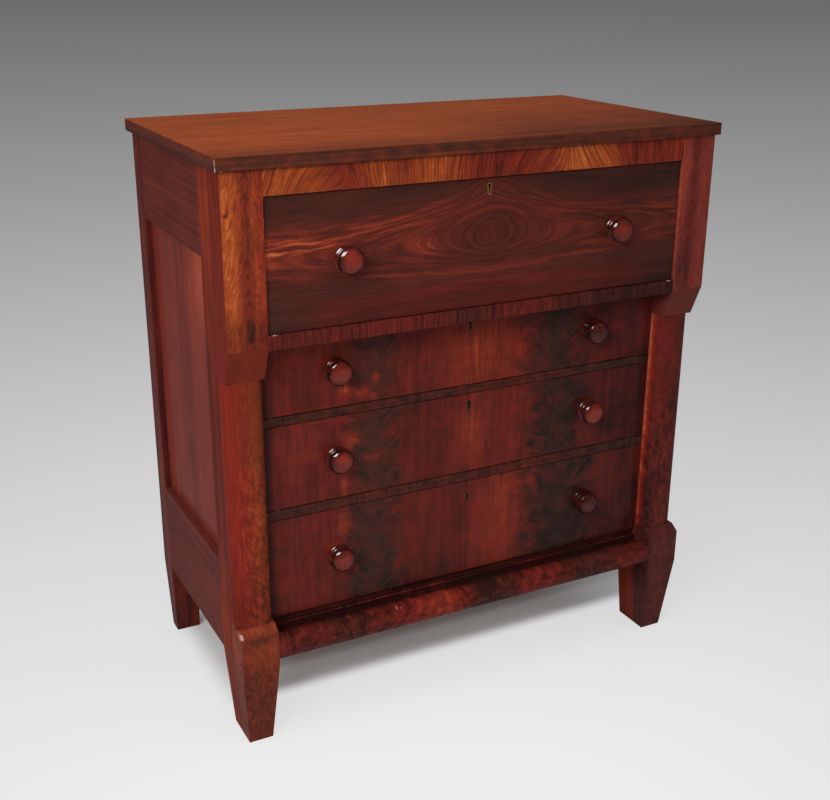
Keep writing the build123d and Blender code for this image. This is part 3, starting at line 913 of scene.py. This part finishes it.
@dataclass
class Casework:
    """The fixed case: every carried-over piece gets its timber and soft arrises."""

    arris: float = 0.7 * MM

    def front_timbers(self) -> dict[str, Timber]:
        """Choose the figured veneers of the front.

        Returns:
            The timber of each node.
        """
        frieze = (
            Zone(-370, 0.66, 0.35), Zone(-322, 0.61, 0.9), Zone(-291, 0.52, 1.3), Zone(-247, 0.45, -0.4),
            Zone(-184, 0.66, -0.1), Zone(-142, 0.52), Zone(-92, 0.7), Zone(-30, 0.54, 0.1),
            Zone(45, 0.36, 0.1), Zone(100, 0.44, 0.7), Zone(150, 0.54, 0.9), Zone(210, 0.74, -0.4),
            Zone(276, 0.7, -0.8), Zone(357, 0.36), Zone(430, 0.46),
        )
        roll = (
            Zone(-400, 0.31), Zone(-318, 0.33, 0.6), Zone(-268, 0.26, -0.5), Zone(-150, 0.32, 1.2),
            Zone(-99, 0.46, 0.6), Zone(-30, 0.55, 0.1), Zone(-10, 0.32, -0.6), Zone(76, 0.12),
            Zone(195, 0.44, 1.0), Zone(320, 0.21, 0.3), Zone(430, 0.34, -1.2),
        )
        upper = (
            Zone(-330, 0.32), Zone(-230, 0.32), Zone(-180, 0.43), Zone(-70, 0.34), Zone(-25, 0.24),
            Zone(165, 0.36), Zone(430, 0.2),
        )
        lower = (
            Zone(-335, 0.27), Zone(-230, 0.28), Zone(-165, 0.31), Zone(-90, 0.28), Zone(60, 0.29),
            Zone(140, 0.31), Zone(240, 0.3), Zone(430, 0.25),
        )
        divider = {"zones": lower, "wide": 4.0, "swing": 0.3, "mottle": 0.6, "dusk": 0.9}
        return {
            "frieze_rail": CrossBanding(
                "frieze cross banding", zones=frieze, middle=1070.0, wide=3.8, swing=0.72, seed=2.0,
                patches=(Patch(0.05, z=(1070, 200)),),
            ),
            "roll_moulding": CrossBanding(
                "roll cross banding", RED_MAHOGANY, zones=roll, middle=200.0, wide=3.0, swing=0.52,
                mottle=0.8, seed=5.0, dusk=0.5, warp=15.0,
                # painted shade: darker in the recess under the drawers; painted highlight: a light line along
                # the fillet's top arris
                patches=(Patch(-0.36, d=(62, 9)), Patch(0.4, d=(60, 1.2), z=(224, 1.2))),
                chips_and_highlights=(
                    Patch(0.56, x=(-176, 16), d=(18, 16), z=(218, 5)),
                    # painted highlight: pale crumbs along the fillet's top arris, laid as chips
                    Patch(0.54, x=(-230, 250), d=(60, 1.5), z=(224, 1.5)),
                ),
            ),
            "upper_divider": CrossBanding(
                "upper divider banding", RED_MAHOGANY, zones=upper, middle=800.0, swing=0.5, seed=7.0,
                chips_and_highlights=(
                    Patch(0.66, x=(-414, 10), z=(811.5, 1.6)), Patch(0.66, x=(416, 9), z=(811.5, 1.6)),
                ),
            ),
            "second_divider": CrossBanding(
                "second divider banding", middle=631.0, seed=11.0,
                chips_and_highlights=(Patch(0.66, x=(-408, 4), z=(639, 1)),), **divider,
            ),
            "third_divider": CrossBanding(
                "third divider banding", middle=447.0, seed=13.0,
                chips_and_highlights=(Patch(0.66, x=(-398, 4), z=(457, 1)),), **divider,
            ),
            "upper_block_left": FeatherBlock(
                "left block feather", base=0.72, middle=-458.0, line_depth=0.24,
                contrast=0.4, coat=0.08, seed=1.0,
                patches=(
                    Patch(0.1, x=(-492, 16), z=(960, 140)), Patch(-0.5, x=(-493, 4), z=(1021, 3)),
                    Patch(-0.3, x=(-488, 2.5), z=(1026, 6)), Patch(-0.2, z=(806, 44)),
                    Patch(-0.14, x=(-432, 9)),
                ),
            ),
            "upper_block_right": FeatherBlock(
                "right block feather", SIDE_MAHOGANY, base=0.49, middle=456.0, line_depth=0.13,
                contrast=0.28, plain=0.38, red=0.0, seed=4.0,
                patches=(
                    # painted highlight: a thin light line on the inner arris, which faces the left lamp
                    Patch(0.24, x=(427.4, 0.8)), Patch(0.12, x=(438, 14), z=(1040, 90)),
                    Patch(-0.18, x=(438, 20), z=(840, 50)),
                ),
            ),
            "pilaster_left": SwirlPilaster(
                "left pilaster swirl", base=0.56, coat=0.07, red=(440.0, 488.0), red_share=0.8, seed=3.0,
                patches=(
                    Patch(-0.03, x=(-432, 9)), Patch(-0.1, z=(290, 70)),
                    Patch(-0.04, x=(-451, 9), z=(310, 70)), Patch(0.12, x=(-432, 8), z=(290, 70)),
                    Patch(0.05, x=(-446, 16), z=(480, 40)),
                ),
            ),
            "pilaster_right": SwirlPilaster(
                "right pilaster swirl", RED_MAHOGANY, base=0.36, red=(462.0, 450.0), seed=8.0,
                patches=(
                    # painted light: the inner cheek, which faces the left lamp, is made much lighter
                    Patch(0.75, x=(426, 3), d=(64, 18)), Patch(-0.06, x=(476, 14)),
                    Patch(0.04, z=(680, 90)), Patch(-0.05, x=(450, 16), z=(420, 160)),
                    Patch(-0.2, x=(434, 12), z=(310, 120)),
                ),
            ),
            "foot_block_left": SwirlPilaster(
                "left foot grain", base=0.47, round_x=520.0, swirl=0.6,
                red_share=0.2, seed=6.0,
                patches=(
                    Patch(0.1, z=(205, 24)), Patch(-0.12, x=(-462, 22), z=(228, 8)),
                    Patch(-0.04, z=(60, 80)), Patch(0.06, x=(-500.5, 0.8)),
                    # painted sheen: lighter on the front of the top bevel
                    Patch(0.1, d=(18, 10), z=(245, 7)),
                ),
                chips_and_highlights=(Patch(0.8, x=(-497, 5), d=(14, 12), z=(242, 12)),),
            ),
            "foot_block_right": SwirlPilaster(
                "right foot grain", SIDE_MAHOGANY, base=0.26, round_x=520.0, swirl=0.4, red_share=0.0,
                # painted shade: darker on the inner face, under the roll
                seed=9.0, patches=(Patch(-0.16, x=(426, 8), z=(80, 120)),),
            ),
        }

    def frame_timbers(self) -> dict[str, Timber]:
        """Choose the straight-grained timbers of the top and the sides.

        Returns:
            The timber of each node.
        """
        made: dict[str, Timber] = {
            "top_board": PlainTimber(
                "top board", HONEY, grain=Grain.ACROSS, base=0.53, wide=1.5, long=300.0, swing=0.5,
                mottle=0.14, top=1114.6,
                patches=(
                    Patch(-0.13, d=(0, 70)), Patch(-0.16, x=(480, 230), d=(60, 200)),
                    Patch(-0.11, x=(160, 140), d=(90, 180)),
                ),
                chips_and_highlights=(
                    Patch(0.74, x=(-507.5, 1.6), d=(-7, 1.6)),
                    Patch(0.66, x=(-500, 9), d=(-7, 1.6), z=(1092.5, 1.4)),
                ),
            ),
            # painted shade: the base rail, seen only in the recess above the roll, is made dark
            "base_rail": PlainTimber("base rail", grain=Grain.ACROSS, base=0.24),
        }
        for side, seed in (("left", 0.0), ("right", 20.0)):
            for name, base in (("side_top_rail", 0.34), ("side_bottom_rail", 0.37)):
                made[f"{name}_{side}"] = PlainTimber(
                    f"{side} {name.replace('_', ' ')}", SIDE_MAHOGANY, grain=Grain.BACK, base=base,
                    wide=2.2, long=320.0, swing=0.38, mottle=0.2, coat=0.08, seed=seed + 4.0 * base,
                    patches=(Patch(-0.07, d=(460, 150), z=(290, 90)),),
                )
            made[f"side_panel_{side}"] = PlainTimber(
                f"{side} side panel", SIDE_MAHOGANY, base=0.51, wide=2.4, long=300.0, swing=0.38,
                mottle=0.2, coat=0.11, seed=seed,
                patches=(
                    Patch(-0.1, d=(296, 30)), Patch(0.34, d=(130, 90), z=(910, 110)),
                    Patch(0.08, d=(215, 40), z=(800, 90)),
                ),
            )
            made[f"front_post_{side}"] = PlainTimber(
                f"{side} front post", RED_MAHOGANY, base=0.42, long=260.0, coat=0.07, seed=seed + 6.0,
                patches=(Patch(0.2, z=(1000, 160)), Patch(0.16, z=(180, 190))),
            )
            made[f"rear_post_{side}"] = PlainTimber(
                f"{side} rear post", RED_MAHOGANY, base=0.36, long=260.0, swing=0.8, seed=seed + 8.0
            )
        return made

    def hidden_timbers(self) -> dict[str, Timber]:
        """Choose the plain timbers inside and behind.

        Returns:
            The timber of each node.
        """
        plain = {"stain": OLD_PINE, "rough": 0.7, "shine": 0.15, "coat": 0.0}
        across = ("back_boards", "back_top_rail", "back_bottom_rail", "drawer_stops")
        back = ("drawer_runners", "drawer_guides", "kicker_strips", "glue_blocks")
        made: dict[str, Timber] = {}
        for grain, names in ((Grain.ACROSS, across), (Grain.BACK, back)):
            for i, name in enumerate(names):
                made[name] = PlainTimber(
                    name.replace("_", " "), grain=grain, base=0.5, swing=0.7, seed=30.0 + 3.0 * i, **plain
                )
        return made

    def build(self, nodes: dict[str, Object]) -> None:
        """Dress the nodes of the case.

        Args:
            nodes: the carried-over pieces by name.
        """
        timbers = self.front_timbers() | self.frame_timbers() | self.hidden_timbers()
        for name, timber in timbers.items():
            dress(nodes[name], timber.material())
            soften(nodes[name], self.arris)
            log.info("%s: %s", name, timber.name)


def dress(node: Object, material: Material) -> None:
    """Give every material slot of a carried-over piece one finish.

    Args:
        node: the piece.
        material: its finish.
    """
    if not node.material_slots:
        node.data.materials.append(material)
    for slot in node.material_slots:
        slot.material = material


def soften(node: Object, width: float) -> None:
    """Round a piece's arrises a little: weld its loose triangles, then bevel its sharp edges.

    Args:
        node: the piece.
        width: the bevel's width in metres.
    """
    weld = node.modifiers.new("weld", "WELD")
    weld.merge_threshold = 0.001 * MM
    flats = node.modifiers.new("whole faces", "DECIMATE")
    flats.decimate_type = "DISSOLVE"
    flats.angle_limit = math.radians(0.6)
    bevel = node.modifiers.new("arris", "BEVEL")
    bevel.width = width
    bevel.segments = 2
    bevel.limit_method = "ANGLE"
    bevel.angle_limit = math.radians(35)
    bevel.use_clamp_overlap = False
    weighted = node.modifiers.new("even shading", "WEIGHTED_NORMAL")
    weighted.keep_sharp = True


@dataclass
class TurnedKnobs:
    """The pair of knobs on one drawer: two beads under a domed head, on a spigot.

    Centres and face are in metres and the sizes of the turning in mm: radii, the groove's pitch,
    the reach from the drawer's face and the spigot's end. Handled says how worn each knob is.
    """

    drawer: int
    centres: list[Span]
    face: float
    handled: Span
    finish: Material
    flange: float = 23.8
    neck: float = 17.0
    ring: float = 23.2
    head: float = 24.2
    groove: float = 7.6
    reach: float = 32.0
    spigot: float = 8.0
    spigot_end: float = 21.5
    chamfer: float = 0.8
    dome_power: float = 2.6

    def bead(self, top: float, wave: np.ndarray) -> np.ndarray:
        """A bead's radii: the neck's plus a half wave of a sine, which reaches the bead's own."""
        return self.neck + (top - self.neck) * np.sin(np.pi * wave)

    def profile(self) -> tuple[np.ndarray, np.ndarray]:
        """Work out the turning's profile: spigot, two beads, the head's lip and its dome.

        The dome is a quarter of a superellipse on the head's radius.

        Returns:
            The radii and the heights above the drawer's face in metres, from the spigot's end to
            the crown.
        """
        spigot, end, cut = self.spigot, -self.spigot_end, self.chamfer
        start = np.array([0.0, spigot - cut, spigot, spigot, spigot, self.flange - 0.7])
        start_h = np.array([end, end, end + cut, -1.0, 0.0, 0.0])
        wave = np.linspace(0.32, 1.0, 9)
        flange_r = self.bead(self.flange, wave)
        flange_h = self.groove * (wave - wave[0]) / (1 - wave[0]) + 0.1
        wave = np.linspace(0.0, 1.0, 15)[1:]
        ring_r = self.bead(self.ring, wave)
        ring_h = self.groove * (1 + wave)
        wave = np.linspace(0.0, 0.5, 8)[1:]
        lip_r = self.bead(self.head, wave)
        lip_h = self.groove * (2 + wave)
        turn = np.linspace(0.0, np.pi / 2, 16)[1:]
        low = lip_h[-1]
        dome_r = self.head * np.cos(turn) ** (2 / self.dome_power)
        dome_h = low + (self.reach - low) * np.sin(turn) ** (2 / self.dome_power)
        dome_r[-1] = 0.0
        radius = np.concatenate((start, flange_r, ring_r, lip_r, dome_r))
        height = np.concatenate((start_h, flange_h, ring_h, lip_h, dome_h))
        return radius * MM, height * MM

    def wear(self) -> np.ndarray:
        """How bare the polish is on each row, with painted shade: none in the grooves and little at the
        dome's rim, which turns them dark, and most on the middle of the dome.

        Returns:
            Two fifths of the squared share of the way from neck to head, and on the dome 0.95 less
            the cube of its radius over the head's, but 0.12 at least.
        """
        radius, height = (part / MM for part in self.profile())
        share = np.clip((radius - self.neck) / (self.head - self.neck), 0.0, 1.0)
        dome = height > 2.5 * self.groove + 1e-6
        crown = np.maximum(0.95 - (radius / self.head) ** 3, 0.12)
        return np.where(dome, crown, 0.4 * share ** 2)

    def build(self) -> None:
        """Make the knobs, which replace the drawer's plain turned ones."""
        radius, height = self.profile()
        lathe = Lathe(radius, height)
        places = [facing((x, self.face, z), Vector((0, -1, 0))) for x, z in self.centres]
        made = placed(f"turned_knobs_{self.drawer}", lathe.points(), lathe.faces(), places)
        wear = made.data.attributes.new(WEAR_AND_SHADE, "FLOAT", "POINT")
        wear.data.foreach_set("value", np.outer(self.handled, lathe.spread(self.wear())).ravel())
        made.data.materials.append(self.finish)
        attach(made, f"drawer_{self.drawer}")
        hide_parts(f"drawer_{self.drawer}_knobs")
        log.info("%s: %d knobs", made.name, len(places))


@dataclass
class Drawers:
    """The four drawers: veneered fronts, plain linings, knobs, locks and bolts."""

    nodes: dict[str, Object]
    handled: tuple[Span, ...] = ((1.0, 0.85), (0.95, 0.25), (0.85, 1.05), (0.8, 0.15))
    knob_spacing: float = 0.560
    arris: float = 0.6 * MM

    def fronts(self) -> list[Timber]:
        """Choose the veneer of each front.

        Returns:
            The veneers, counted from the top.
        """
        flame = FlameFront(
            "flame veneer", base=0.29, seed=1.0,
            patches=(
                Patch(0.34, x=(-385, 90), z=(948, 26)), Patch(0.14, x=(-230, 90), z=(975, 24)),
                Patch(0.16, x=(-125, 30), z=(928, 26)), Patch(0.1, x=(-90, 60), z=(1000, 22)),
                Patch(0.12, x=(238, 36), z=(925, 26)), Patch(0.08, x=(350, 60), z=(930, 24)),
                Patch(0.06, x=(110, 60), z=(990, 26)), Patch(-0.07, x=(290, 130), z=(975, 70)),
                Patch(-0.04, z=(902, 24)), Patch(-0.05, x=(5, 60), z=(941, 40)),
                Patch(-0.06, x=(170, 80), z=(1015, 30)), Patch(0.07, x=(-20, 180), z=(862, 16)),
                Patch(-0.12, x=(430, 130), z=(1050, 60)), Patch(-0.1, x=(430, 140), z=(820, 60)),
            ),
        )
        second = PlumeFront(
            "second front veneer", base=0.39, seed=12.0,
            plumes=(Plume(-200, 42, 0.07), Plume(192, 60, 0.09)),
            patches=(
                Patch(0.4, x=(-260, 14), z=(674, 12)), Patch(0.42, x=(-229, 16), z=(660, 9)),
                Patch(0.48, x=(-202, 10), z=(648, 10)), Patch(0.46, x=(-199, 8), z=(687, 12)),
                # painted shade: darker strip at the left end, next to the pilaster
                Patch(-0.3, x=(-430, 17)), Patch(0.14, x=(15, 110), z=(700, 120)),
                # painted light: lighter at the top left, where the upper drawer's overhang shades the front
                Patch(0.13, x=(-305, 80), z=(752, 34)), Patch(-0.05, x=(-120, 50), z=(745, 30)),
                Patch(-0.05, x=(140, 60), z=(745, 30)), Patch(0.16, x=(14, 4), z=(722, 26)),
                Patch(-0.2, x=(380, 130)), Patch(0.08, x=(400, 50), z=(745, 40)),
            ),
        )
        third = PlumeFront(
            "third front veneer", base=0.375, seed=17.0,
            plumes=(Plume(-205, 48, 0.05), Plume(204, 60, 0.11)),
            patches=(
                Patch(0.1, x=(-360, 90), z=(575, 60)), Patch(-0.04, x=(-120, 50)),
                Patch(0.4, x=(-253, 17), z=(568, 18)), Patch(0.36, x=(-267, 8), z=(478, 20)),
                # painted shade: darker strip at the left end, next to the pilaster
                Patch(0.3, x=(-215, 22), z=(529, 8)), Patch(-0.3, x=(-430, 17)),
                Patch(0.2, x=(2, 34), z=(550, 60)), Patch(-0.22, x=(390, 130)),
            ),
        )
        fourth = PlumeFront(
            "fourth front veneer", base=0.38, seed=23.0,
            plumes=(Plume(-210, 54, 0.08), Plume(218, 78, 0.12)),
            patches=(
                Patch(0.36, x=(-268, 12), z=(399, 24)), Patch(0.26, x=(-286, 16), z=(356, 14)),
                # painted shade: darker strip at the left end, next to the pilaster
                Patch(-0.3, x=(-430, 17)), Patch(0.24, x=(150, 14), z=(415, 14)),
                Patch(0.14, x=(80, 60), z=(340, 120)), Patch(-0.14, x=(-120, 100), z=(250, 50)),
                Patch(-0.2, x=(405, 110)), Patch(-0.05, x=(-20, 60), z=(380, 60)),
                Patch(-0.09, x=(240, 110), z=(285, 50)), Patch(0.05, x=(285, 50), z=(390, 50)),
            ),
        )
        return [flame, second, third, fourth]

    def knob_centres(self, number: int) -> list[Span]:
        """Find the middle of each knob from the box of the carried-over pair.

        Args:
            number: the drawer, counted from the top.

        Returns:
            The middles, in metres across and up.
        """
        low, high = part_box(f"drawer_{number}_knobs")
        x = high.x - (high.x - low.x - self.knob_spacing) / 2
        return [(-x, (low.z + high.z) / 2), (x, (low.z + high.z) / 2)]

    def build(self) -> None:
        """Dress the drawers and turn their knobs."""
        knob_finish = TurnedWood().material()
        brass = Metal("aged brass", (176, 132, 66), (74, 52, 30), 0.45).material()
        dull_brass = Metal("dull brass", (110, 80, 44), (48, 32, 22), 0.62).material()
        steel = Metal("bolt steel", (120, 116, 110), (58, 50, 44), 0.4).material()
        lining = {"stain": OLD_OAK, "rough": 0.66, "shine": 0.22, "coat": 0.0}
        side = PlainTimber("drawer side oak", grain=Grain.BACK, base=0.5, seed=41.0, **lining).material()
        back = PlainTimber("drawer back oak", grain=Grain.ACROSS, base=0.5, seed=44.0, **lining).material()
        for number, (front, handled) in enumerate(zip(self.fronts(), self.handled), start=1):
            name = f"drawer_{number}"
            finishes = {
                "front": front.material(), "sides": side, "back": back, "bottom": back,
                "lock": brass if number == 1 else dull_brass, "bolt": steel,
            }
            for part, finish in finishes.items():
                dress(self.nodes[f"{name}_{part}"], finish)
            soften(self.nodes[f"{name}_front"], self.arris)
            face = (front.face - FRONT_PLANE) * MM
            TurnedKnobs(number, self.knob_centres(number), face, handled, knob_finish).build()
            log.info("%s: %s", name, front.name)


# ---- stage, lights and camera ----


@dataclass(frozen=True)
class SoftLamp:
    """A studio softbox aimed at the chest, its size across and up."""

    name: str
    place: Point
    watts: float
    size: Span
    aim: Point = (0.0, 0.0, 0.6)
    polish_only: bool = False

    def build(self) -> None:
        """Make the lamp."""
        data = bpy.data.lights.new(self.name, "AREA")
        data.energy = self.watts
        data.shape = "RECTANGLE"
        data.size, data.size_y = self.size
        lamp = bpy.data.objects.new(self.name, data)
        lamp.location = self.place
        lamp.rotation_mode = "QUATERNION"
        way = Vector(self.aim) - Vector(self.place)
        lamp.rotation_quaternion = way.to_track_quat("-Z", "Y")
        lamp.visible_glossy = self.polish_only
        lamp.visible_diffuse = not self.polish_only
        bpy.context.scene.collection.objects.link(lamp)


@dataclass(frozen=True)
class Studio:
    """A wide floor with a painted pool of light, pale round the chest, that darkens into a grey distance;
    soft lamps and the camera.

    The middle of the painted pool of light, the eye and the floor's radius are in metres, the
    angles in radians and the edges of the painted shade under the chest in millimetres, each from
    outside to inside.
    """

    floor_radius: float = 60.0
    floor_rings: int = 24
    floor_steps: int = 96
    pool: Span = (-0.35, -0.7)
    pale: float = 236.0
    dim: float = 90.0
    half_way: float = 0.47
    fall: float = 2.5
    decades: float = 1.8
    own_tone: float = 0.84
    shade_front: Span = (142.0, 188.0)
    shade_core: Span = (225.0, 265.0)
    shade_back: Span = (620.0, 500.0)
    shade_left: Span = (-500.0, -430.0)
    shade_right: Span = (640.0, 540.0)
    far: Rgb = (108, 108, 108)
    air: float = 0.4
    eye: Point = (-1.0789, -2.0592, 1.4054)
    yaw: float = 0.4766
    pitch: float = 0.3557
    roll: float = 0.0052
    lens: float = 51.37

    def floor(self) -> None:
        """A disc whose rows are rings: radius grows as the square of the row's share."""
        rows = np.linspace(0.0, 1.0, self.floor_rings + 1)[1:] ** 2 * self.floor_radius
        turn = np.linspace(0.0, 2 * np.pi, self.floor_steps, endpoint=False)
        rings = np.stack((rows[:, None] * np.cos(turn), rows[:, None] * np.sin(turn)), -1)
        points = np.zeros((rows.size * turn.size + 1, 3))
        points[1:, :2] = rings.reshape(-1, 2)
        step = np.arange(turn.size)
        after = (step + 1) % turn.size
        row = 1 + turn.size * np.arange(rows.size - 1)[:, None]
        quads = np.stack((row + step, row + turn.size + step, row + turn.size + after, row + after), -1)
        fan = np.stack((0 * step, 1 + step, 1 + after), -1)
        made = placed("floor", points, quads.reshape(-1, 4).tolist() + fan.tolist(), [Matrix.Identity(4)])
        made.data.materials.append(self.floor_material())

    def floor_material(self) -> Material:
        """A painted pool of light, pale round the chest and grey far off; most of what is seen is its own
        plain tone.

        The grey falls from pale to dim as 1 / (1 + (s / half_way) to the power fall), where s is
        the logarithm of the distance from the pool, divided by decades. In a zone placed under the
        chest the floor has no tone of its own, so that the shadow there is a full one: painted shade
        whose edges are set, on top of the real shadow.

        Returns:
            The floor's material.
        """
        tree = WoodTree(bpy.data.materials.new("floor paper"))
        # painted pool of light: the floor is palest round the pool and greys with the distance from it
        over = (tree.x * MM - self.pool[0]) ** 2.0
        back = ((tree.d - FRONT_PLANE) * MM - self.pool[1]) ** 2.0
        reach = (over + back) ** 0.5
        share = tree.maths("LOGARITHM", reach + 1.0, 10.0) / self.decades
        steps = np.linspace(0.0, 1.0, 24)
        greys = self.dim + (self.pale - self.dim) / (1.0 + (steps / self.half_way) ** self.fall)
        colour = tree.ramp(share, [(step, linear((grey,) * 3)) for step, grey in zip(steps, greys)])
        lit = tree.node("ShaderNodeBsdfDiffuse", None, {"Color": colour})
        own = tree.node("ShaderNodeEmission", None, {"Color": colour, "Strength": 1.0})
        # painted shade: in a zone placed under the chest the floor's own tone is taken away, so it darkens
        # there
        under = 0.86 * tree.rise(tree.d, *self.shade_front) + 0.14 * tree.rise(tree.d, *self.shade_core)
        under = under * tree.rise(tree.d, *self.shade_back)
        under = under * tree.rise(tree.x, *self.shade_left) * tree.rise(tree.x, *self.shade_right)
        inputs = {0: tree.direct() * (self.own_tone * (1.0 - under)), 1: lit, 2: own}
        tree.surface(tree.node("ShaderNodeMixShader", None, inputs))
        return tree.owner

    def world(self) -> None:
        """Even light on the chest; the camera and the polish see the grey distance."""
        world = bpy.data.worlds.new("studio air")
        bpy.context.scene.world = world
        tree = Tree(world)
        light = tree.node("ShaderNodeBackground", None, {0: (1.0, 1.0, 1.0, 1.0), 1: self.air})
        distance = tree.node("ShaderNodeBackground", None, {0: linear(self.far), 1: 1.0})
        mixed = tree.node("ShaderNodeMixShader", None, {0: tree.direct(), 1: light, 2: distance})
        tree.surface(mixed, "ShaderNodeOutputWorld")

    def camera(self) -> None:
        """The camera, turned by yaw to the right of +Y, pitch down and a little roll."""
        data = bpy.data.cameras.new("camera")
        data.sensor_fit = "HORIZONTAL"
        data.sensor_width = 36.0
        data.lens = self.lens
        data.clip_start = 0.05
        data.clip_end = 100.0
        made = bpy.data.objects.new("camera", data)
        level = math.cos(self.pitch)
        way = Vector((math.sin(self.yaw) * level, math.cos(self.yaw) * level, -math.sin(self.pitch)))
        turn = way.to_track_quat("-Z", "Y").to_matrix().to_4x4()
        made.matrix_world = Matrix.Translation(self.eye) @ turn @ Matrix.Rotation(self.roll, 4, "Z")
        bpy.context.scene.collection.objects.link(made)
        bpy.context.scene.camera = made

    def build(self) -> None:
        """Set the stage."""
        bpy.context.scene.view_settings.view_transform = "Standard"
        self.floor()
        self.world()
        self.camera()
        for lamp in (
            SoftLamp("left softbox", (-2.1, -1.8, 2.1), 58.0, (1.3, 0.5)),
            SoftLamp("overhead softbox", (-0.4, -0.5, 3.1), 48.0, (1.6, 1.6)),
            SoftLamp("right fill", (2.6, -2.4, 1.8), 14.0, (1.6, 1.6)),
            SoftLamp("gloss softbox", (-1.7, -1.1, 2.6), 420.0, (2.4, 1.4), polish_only=True),
        ):
            lamp.build()
        log.info("studio: floor, world, camera and lamps")


def main() -> None:
    """Load the frame, set the stage and dress every piece."""
    logging.basicConfig(level=logging.INFO, format="%(message)s")
    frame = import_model()
    Studio().build()
    Casework().build(frame["nodes"])
    Drawers(frame["nodes"]).build()


if __name__ == "__main__":
    main()
